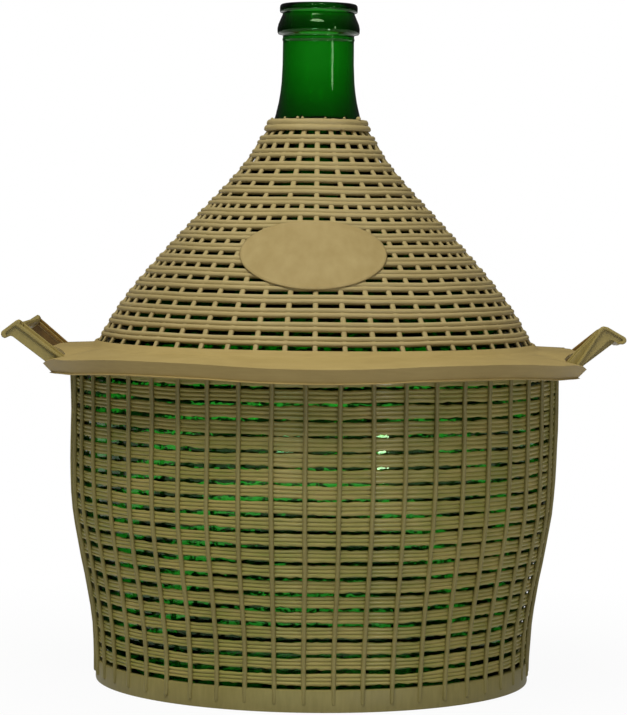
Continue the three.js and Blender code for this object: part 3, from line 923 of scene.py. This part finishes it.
def make_cover_strands():
    bands = []
    for z0, z1 in zip(slit_rows, slit_rows[1:]):
        z = (z0 + z1) / 2
        bands.append((cone_r(z), z, cone_lean(z), 1))
    section = strand_section(CONE_STRANDS, CONE_BAND_H, CONE_BAND_CROWN, CONE_BAND_T)
    piece = stack_bands("cover_strands", section, bands)
    turn_round(CONE_STEPS)
    end_edit(piece, STRAND_SMOOTH)
    sway(piece, *COVER_SWAY)
    dress(piece, "cover", "cover_plastic", cover_plastic, "cover_weave")


def spoke_r(z):
    """Radius of a spoke's middle: behind the strands, and tucked further in behind the neck ring."""
    tuck = SPOKE_TUCK * max(z - SPOKE_TUCK_Z, 0) / (CONE_TOP_Z - SPOKE_TUCK_Z)
    return cone_r(z) - SPOKE_SINK / math.cos(cone_lean(z)) - tuck


def make_spokes():
    """Flat spokes behind the strands: long ones to the neck, short ones between them lower down."""
    foot = slit_rows[-1] - SPOKE_FOOT_DROP
    short_top = (slit_rows[SHORT_SPOKE_ROW] + slit_rows[SHORT_SPOKE_ROW - 1]) / 2
    made = []
    for name, top, turn in (("long_spokes", CONE_TOP_Z, 0), ("short_spokes", short_top, 180 / SPOKE_COUNT)):
        points = [(spoke_r(z), z) for z in stations(foot, top, SPOKE_STATIONS)]
        made.append(bar_along(name, points, SPOKE_HALF_W, SPOKE_HALF_T, 4, SPOKE_TIP))
        copies_round(SPOKE_COUNT)
        if turn:
            turn_all(turn)
        end_edit(made[-1], BAR_SMOOTH)
    piece = join_parts("spokes", made)
    sway(piece, *COVER_SWAY)
    dress(piece, "cover", "cover_plastic", cover_plastic, "cover_spokes")


def make_neck_ring():
    """Two strands round the neck hole, with nubs of flash on an uneven top edge."""
    section = strand_section(CONE_STRANDS, NECK_BAND_H, NECK_BAND_CROWN, CONE_BAND_T)
    band = (NECK_BAND_R, NECK_BAND_Z, math.radians(NECK_BAND_LEAN), 1)
    piece = stack_bands("neck_strands", section, [band])
    turn_round(NECK_STEPS)
    for degrees, size in NECK_NUBS:
        turn = math.radians(degrees)
        place = (NUB_R * math.sin(turn), -NUB_R * math.cos(turn), NUB_Z)
        bpy.ops.mesh.primitive_ico_sphere_add(subdivisions=2, radius=size * MM, location=place)
    end_edit(piece, STRAND_SMOOTH)
    sway(piece, *NECK_SWAY)
    dress(piece, "cover", "cover_plastic", cover_plastic, "neck_ring")


def make_flange():
    """The brim: a base band under the cone, a sloping top, a rounded crease and a short skirt."""
    brim_r = CONE_BASE_R + BASE_BAND_W
    crease_z = flange_high.z - (CONE_BASE_Z - BRIM_CREASE_Z)
    corners = {
        "top": (CONE_BASE_R, CONE_BASE_Z - TOP_SINK),
        "brim": (brim_r, CONE_BASE_Z - BASE_BAND_FALL),
        "crease": (FLANGE_R, crease_z),
        "skirt": (FLANGE_R - SKIRT_LEAN, crease_z - SKIRT_H),
    }
    outline = []
    for corner, out, up in FLANGE_SECTION:
        r, z = corners[corner]
        outline.append((r + out * MM, z + up * MM))
    piece = draw_loop("flange", upright(outline))
    turn_round(FLANGE_STEPS)
    end_edit(piece, BRIM_SMOOTH)
    for side in (-1, 1):
        cut_arm_slots(piece, side)
    warp_brim(piece, brim_r, crease_z)
    shade(BRIM_SMOOTH)
    dress(piece, "cover", "cover_plastic", flange_plastic, "cover_flange")


def warp_brim(flange, brim_r, crease_z):
    """Lets the brim rise and fall on its way round, more at its edge and the same on both sides."""
    for vertex in flange.data.vertices:
        x, y, z = vertex.co
        share = max((math.hypot(x, y) - brim_r) / (FLANGE_R - brim_r), 0)
        down = clamped((crease_z - z) / SKIRT_H) if share > SKIRT_SHARE else 0
        turn = math.degrees(math.atan2(abs(x), -y))
        lift = eased(BRIM_LIFT, turn)
        lift += down * max(SKIRT_LEAST_LIFT - lift, 0)
        flare = 1 + share * (1 - down) * eased(EAR_FLARE, turn) * MM / FLANGE_R
        vertex.co = (x * flare, y * flare, z + share * lift * MM)


def cut_arm_slots(flange, side):
    """Cuts the slots for a handle's two arms and trims the tab between them."""
    low = flange_low.z - SLOT_BELOW
    plan = [Vector((side * x, y, low)) for x, y in in_mm(SLOT_PLAN)]
    cutter = draw_slab("slot_cutter", plan, (0, 0, SLOT_H))
    end_edit(cutter, PLAIN_SMOOTH)
    cut = flange.modifiers.new("arm slots", "BOOLEAN")
    cut.operation = "DIFFERENCE"
    cut.object = cutter
    take(flange)
    apply_modifier(flange, cut)
    bpy.data.objects.remove(cutter)


def make_plate():
    """The bare oval plate: a thin curved sheet lying on the cone, with a raised rim."""
    former = draw_line("plate_former", upright([(cone_r(z) + PLATE_SEAT, z) for z in FORMER_HEIGHTS]))
    turn_round(FORMER_STEPS)
    end_edit(former, PLATE_SMOOTH)
    middle = (PLATE_SHIFT, -cone_r(PLATE_Z) - PLATE_START_OUT, PLATE_Z)
    clear_bench()
    bpy.ops.mesh.primitive_circle_add(
        vertices=PLATE_SIDES, radius=PLATE_W / 2, fill_type="NGON",
        location=middle, rotation=(math.pi / 2, 0, 0),
    )
    piece = begin("bare_plate")
    plate_h = PLATE_LENGTH * math.cos(cone_lean(PLATE_Z))
    bpy.ops.transform.resize(value=(1, 1, plate_h / PLATE_W), center_override=middle)
    for inset in PLATE_INSETS:
        bpy.ops.mesh.inset(thickness=inset * MM, depth=0)
    for shrink in PLATE_SHRINKS:
        push_face((0, 0, 0))
        bpy.ops.transform.resize(value=(shrink, 1, shrink), center_override=middle)
    bpy.ops.mesh.poke()
    end_edit(piece, PLATE_SMOOTH)
    wrap = piece.modifiers.new("lie on cone", "SHRINKWRAP")
    wrap.target = former
    wrap.wrap_method = "PROJECT"
    wrap.use_project_x = False
    wrap.use_project_y = True
    wrap.use_project_z = False
    wrap.use_negative_direction = True
    wrap.use_positive_direction = True
    take(piece)
    apply_modifier(piece, wrap)
    bpy.data.objects.remove(former)
    raise_plate_rim(piece, plate_h)
    wall = piece.modifiers.new("sheet", "SOLIDIFY")
    wall.thickness = PLATE_T
    wall.offset = 1
    apply_modifier(piece, wall)
    dress(piece, "cover", "cover_plastic", plate_plastic, "oval_plate")


def raise_plate_rim(plate, plate_h):
    """Lifts the ring of points just inside the oval's edge into a thin rim."""
    a, b = PLATE_W / 2, plate_h / 2
    for vertex in plate.data.vertices:
        u, v = (vertex.co.x - PLATE_SHIFT) / a, (vertex.co.z - PLATE_Z) / b
        size = math.hypot(u, v)
        if size < PLATE_RIM_LEAST:
            continue
        from_edge = (1 - size) * size / math.hypot(u / a, v / b)
        if PLATE_RIM_FROM < from_edge < PLATE_RIM_TO:
            vertex.co.y -= PLATE_RIM_T


make_cover_strands()
make_spokes()
make_neck_ring()
make_flange()
make_plate()


# Handles
def cross_slab(name, outline, near, far):
    """A slab of an upright outline that lies across the loop from near to far, all in millimetres."""
    return draw_slab(name, upright(in_mm(outline), near * MM), (0, (far - near) * MM, 0))


def make_front(loop):
    """A loop's front arm with the end of its grip, in layers from the front to the hand hole."""
    return [cross_slab("front_" + layer, loop[layer], *depths) for layer, depths in FRONT_DEPTHS.items()]


def make_roots(feet):
    """The two tongues under the flange, from the arms' feet into the rim."""
    return [cross_slab("root", foot + ROOT_RIM, *depths) for foot, depths in zip(feet, ROOT_DEPTHS)]


def make_rear_arm(top_line):
    """A sloping arm, drawn along the line of its top and rolled about its own middle."""
    (root_x, root_z), (end_x, end_z) = in_mm(top_line)
    root = Vector((root_x, HANDLE_HALF_W, root_z))
    along = Vector((end_x - root_x, 0, end_z - root_z))
    length = along.length
    along.normalize()
    across = Vector((-along.z, 0, along.x))
    outwards = Vector((0, 1, 0))
    start = root - ARM_FOOT * along
    arm = draw_face("arm", [start + (out * outwards + up * across) * MM for out, up in ARM_SECTION])
    step = (length + ARM_FOOT - ARM_END) / ARM_STEPS * along
    for _ in range(ARM_STEPS):
        push_face(step)
    face_outwards()
    bpy.ops.object.mode_set(mode="OBJECT")
    roll = math.radians(ARM_ROLL)
    for vertex in arm.data.vertices:
        offset = vertex.co - root
        out = offset.dot(outwards) / MM - ROLL_OUT
        up = offset.dot(across) / MM - ROLL_UP
        new_out = ROLL_OUT + out * math.cos(roll) + up * math.sin(roll)
        new_up = ROLL_UP - out * math.sin(roll) + up * math.cos(roll)
        vertex.co = root + offset.dot(along) * along + (new_out * outwards + new_up * across) * MM
    return arm


def make_grip(outline, rear_shift):
    """The hooked grip across the arms' ends, a little lower between them."""
    front, rear = HANDLE_HALF_W - GRIP_FRONT_SHORT, HANDLE_HALF_W + GRIP_REAR_LONG
    grip = draw_face("grip", upright(in_mm(outline), -front))
    width = front + rear
    shift_x, shift_z = in_mm([rear_shift])[0]
    for depth, sink in ((GRIP_END_W, GRIP_SAG), (width - 2 * GRIP_END_W, 0), (GRIP_END_W, -GRIP_SAG)):
        share = depth / width
        push_face((shift_x * share, depth, shift_z * share - sink))
    face_outwards()
    return grip


def make_root_bar():
    """The bar along the basket's rim that both arms grow from."""
    outer = rim_high.y + ROOT_BAR_T
    inner = rim_high.y - ROOT_BAR_EDGE
    half_turn = math.asin(HANDLE_HALF_W / outer)
    low, high = rim_low.z + ROOT_BAR_LIFT, rim_low.z + ROOT_BAR_H
    outline = [
        (inner, low),
        (outer - ROOT_BAR_EDGE, low),
        (outer, low + ROOT_BAR_EDGE),
        (outer, high - ROOT_BAR_EDGE),
        (outer - ROOT_BAR_EDGE, high),
        (inner, high),
    ]
    start = Matrix.Rotation(-half_turn, 3, "Z")
    bar = draw_face("root_bar", [start @ p for p in upright(outline)])
    turn_round(ROOT_BAR_STEPS, 2 * half_turn)
    return bar


def make_handle(name, loop, node):
    """A loop handle on the basket's rim, made at +X. Its faces towards the hand hole get a darker, warmer
    brown copy of its plastic as painted shade.
    """
    parts = make_front(loop) + [make_rear_arm(loop["rear_arm"])] + make_roots(loop["feet"])
    parts += [make_grip(loop["grip"], loop["grip_shift"]), make_root_bar()]
    for part in parts:
        take(part)
        soften_edges(part, BEAD_ROUNDING if part.name.startswith("front_bead") else EDGE_ROUNDING)
    handle = join_parts(name, parts)
    dress(handle, "basket", "basket_plastic", handle_plastic, node)
    # Faces turned towards the hand hole get the painted shade material
    handle.data.materials.append(handle_painted_shade)
    for face in handle.data.polygons:
        towards_hole = -face.normal.y * (1 if face.center.y > 0 else -1)
        if towards_hole > PAINTED_SHADE_FACING and abs(face.center.y) < HANDLE_HALF_W:
            face.material_index = 1
    return handle


def make_handles():
    make_handle("right_handle_loop", RIGHT_LOOP, "handle_right")
    shade(HANDLE_SMOOTH)
    left = make_handle("left_handle_loop", LEFT_LOOP, "handle_left")
    bpy.ops.object.mode_set(mode="EDIT")
    bpy.ops.mesh.select_all(action="SELECT")
    bpy.ops.transform.resize(value=(-1, 1, 1), center_override=(0, 0, 0))
    bpy.ops.mesh.normals_make_consistent(inside=False)
    end_edit(left, HANDLE_SMOOTH)


make_handles()


# Bottle
def bottle_outer():
    """The bottle's outer line (radius, z) from the base to the mouth."""
    line = in_mm(BOTTLE_BASE)
    for z in BODY_HEIGHTS:
        line.append((wall_r(z * MM) - BODY_CLEAR, z * MM))
    line += in_mm(BODY_TOP)
    for z in SHOULDER_HEIGHTS:
        line.append((cone_r(z * MM) - SHOULDER_CLEAR / math.cos(cone_lean(z * MM)), z * MM))
    return line + in_mm(NECK_LINE)


def make_bottle():
    """One closed skin of glass: the outer line, over the lip and back down the inside."""
    outer = bottle_outer()
    inner = []
    for before, here, after in zip(outer, outer[1:], outer[2:]):
        along = Vector(after) - Vector(before)
        along.normalize()
        rise = clamped((here[1] - SHOULDER_FROM_Z) / (SHOULDER_FULL_Z - SHOULDER_FROM_Z))
        wall = GLASS_T + (SHOULDER_T - GLASS_T) * rise
        inner.append((here[0] - along[1] * wall, here[1] + along[0] * wall))
    inner = [p for p in inner if p[1] < BORE_FOOT_Z]
    top = bottle_high.z
    lip = [(LIP_INNER_R, top), (MOUTH_R, top - LIP_INNER_FALL)]
    outline = outer + lip + in_mm(BORE_LINE) + inner[::-1] + [(0, outer[0][1] + GLASS_T)]
    piece = draw_line("green_bottle", upright(outline))
    turn_round(BOTTLE_STEPS)
    end_edit(piece, GLASS_SMOOTH)
    dress(piece, "bottle", "bottle_glass", bottle_glass, "glass_bottle")


make_bottle()


# Camera, light and floor
def set_camera():
    """A long lens a little above the brim, placed by pixels of the picture."""
    lens = bpy.data.cameras.new("camera")
    camera = bpy.data.objects.new("camera", lens)
    bpy.context.collection.objects.link(camera)
    lens.sensor_fit = "HORIZONTAL"
    lens.sensor_width = SENSOR_W
    lens.lens = CAMERA_DISTANCE / IMAGE_W * SENSOR_W
    pitch = math.atan((IMAGE_MID_Y - EYE_LINE_Y) / CAMERA_DISTANCE)
    yaw = math.atan((AXIS_X - IMAGE_W / 2) / CAMERA_DISTANCE)
    turn = Matrix.Rotation(yaw, 4, "Z") @ Matrix.Rotation(math.pi / 2 - pitch, 4, "X")
    turn = turn @ Matrix.Rotation(math.radians(CAMERA_ROLL), 4, "Z")
    place = (0, -CAMERA_DISTANCE * PIXEL, (BASE_LINE_Y - EYE_LINE_Y) * PIXEL)
    camera.matrix_world = Matrix.Translation(place) @ turn
    bpy.context.scene.camera = camera


def add_lamp(name, place, size, power, aim):
    lamp = bpy.data.lights.new(name, "AREA")
    lamp.shape = "RECTANGLE"
    lamp.size, lamp.size_y = size
    lamp.energy = power
    holder = bpy.data.objects.new(name, lamp)
    bpy.context.collection.objects.link(holder)
    turn = (Vector(aim) - Vector(place)).to_track_quat("-Z", "Y").to_matrix().to_4x4()
    holder.matrix_world = Matrix.Translation(place) @ turn
    return holder


def set_lamps():
    lamps = {row[0]: add_lamp(*row) for row in LAMPS}
    lamps["key_lamp"].visible_glossy = False
    lamps["low_glint"].visible_diffuse = False
    lamps["low_window"].visible_diffuse = False
    lamps["low_window"].data.color = WINDOW_COLOUR


def set_world():
    """Soft room light, stronger from above. The camera and the glass see white past the object, and
    reflections see a small share of it over a dimmer room."""
    world = bpy.data.worlds.new("studio")
    bpy.context.scene.world = world
    world.use_nodes = True
    tree = world.node_tree
    room = tree.nodes["Background"]
    room.inputs["Color"].default_value = WHITE
    way = add_node(tree, "TexCoord")
    split = add_node(tree, "SeparateXYZ")
    rise = add_node(tree, "MapRange", {"To Min": ROOM_LOW, "To Max": ROOM_HIGH})
    white = add_node(tree, "Background", {"Color": WHITE})
    seen = add_node(tree, "LightPath")
    shaded = add_node(tree, "MapRange", {"To Min": 1, "To Max": REFLECTED_ROOM})
    level = add_node(tree, "Math", operation="MULTIPLY")
    dimmed = add_node(tree, "Math", {1: REFLECTED_SHARE}, "MULTIPLY")
    either = add_node(tree, "Math", operation="MAXIMUM")
    any_of = add_node(tree, "Math", operation="MAXIMUM")
    mix = add_node(tree, "MixShader")
    link = tree.links.new
    link(way.outputs["Generated"], split.inputs[0])
    link(split.outputs["Z"], rise.inputs["Value"])
    link(seen.outputs["Is Glossy Ray"], shaded.inputs["Value"])
    link(rise.outputs["Result"], level.inputs[0])
    link(shaded.outputs["Result"], level.inputs[1])
    link(level.outputs[0], room.inputs["Strength"])
    link(seen.outputs["Is Glossy Ray"], dimmed.inputs[0])
    link(seen.outputs["Is Camera Ray"], either.inputs[0])
    link(dimmed.outputs[0], either.inputs[1])
    link(either.outputs[0], any_of.inputs[0])
    link(seen.outputs["Is Transmission Ray"], any_of.inputs[1])
    link(any_of.outputs[0], mix.inputs["Fac"])
    link(room.outputs[0], mix.inputs[1])
    link(white.outputs[0], mix.inputs[2])
    link(mix.outputs[0], tree.nodes["World Output"].inputs["Surface"])


def lay_floor():
    """A pale floor that the camera sees as nearly white, with the object's soft shadow on it. Reflections
    see it dimmed, and rays through the glass see it dark close to the object."""
    clear_bench()
    bpy.ops.mesh.primitive_circle_add(vertices=FLOOR_SIDES, radius=FLOOR_R, fill_type="NGON")
    floor = begin("floor")
    end_edit(floor, PLAIN_SMOOTH)
    material, tree, paint = new_material("floor_paint")
    paint.inputs["Base Color"].default_value = FLOOR_COLOUR
    paint.inputs["Roughness"].default_value = FLOOR_ROUGHNESS
    glow = add_node(tree, "Emission", {"Color": WHITE})
    seen = add_node(tree, "LightPath")
    place = add_node(tree, "TexCoord")
    reach = add_node(tree, "VectorMath", operation="LENGTH")
    fade = add_node(tree, "MapRange", {
        "From Min": FLOOR_NEAR, "From Max": FLOOR_FAR, "To Min": FLOOR_NEAR_SHARE, "To Max": 1,
    })
    share = add_node(tree, "Math", operation="MULTIPLY")
    either = add_node(tree, "Math", operation="MAXIMUM")
    any_of = add_node(tree, "Math", operation="MAXIMUM")
    dimmed = add_node(tree, "Math", {1: FLOOR_REFLECTED_SHARE}, "MULTIPLY")
    shaded = add_node(tree, "MapRange", {
        "From Min": FLOOR_SHADE_FROM, "From Max": FLOOR_SHADE_TO, "To Min": FLOOR_SHADE, "To Max": 1,
    })
    through = add_node(tree, "Math", operation="MULTIPLY")
    mix = add_node(tree, "MixShader")
    link = tree.links.new
    link(place.outputs["Object"], reach.inputs[0])
    link(reach.outputs["Value"], fade.inputs["Value"])
    link(reach.outputs["Value"], shaded.inputs["Value"])
    link(seen.outputs["Is Transmission Ray"], through.inputs[0])
    link(shaded.outputs["Result"], through.inputs[1])
    link(seen.outputs["Is Camera Ray"], either.inputs[0])
    link(through.outputs[0], either.inputs[1])
    link(seen.outputs["Is Glossy Ray"], dimmed.inputs[0])
    link(either.outputs[0], any_of.inputs[0])
    link(dimmed.outputs[0], any_of.inputs[1])
    link(any_of.outputs[0], share.inputs[0])
    link(fade.outputs["Result"], share.inputs[1])
    link(share.outputs[0], mix.inputs["Fac"])
    link(paint.outputs[0], mix.inputs[1])
    link(glow.outputs[0], mix.inputs[2])
    link(mix.outputs[0], tree.nodes["Material Output"].inputs["Surface"])
    floor.data.materials.append(material)


set_camera()
set_world()
set_lamps()
lay_floor()
bpy.context.scene.view_settings.view_transform = "Standard"
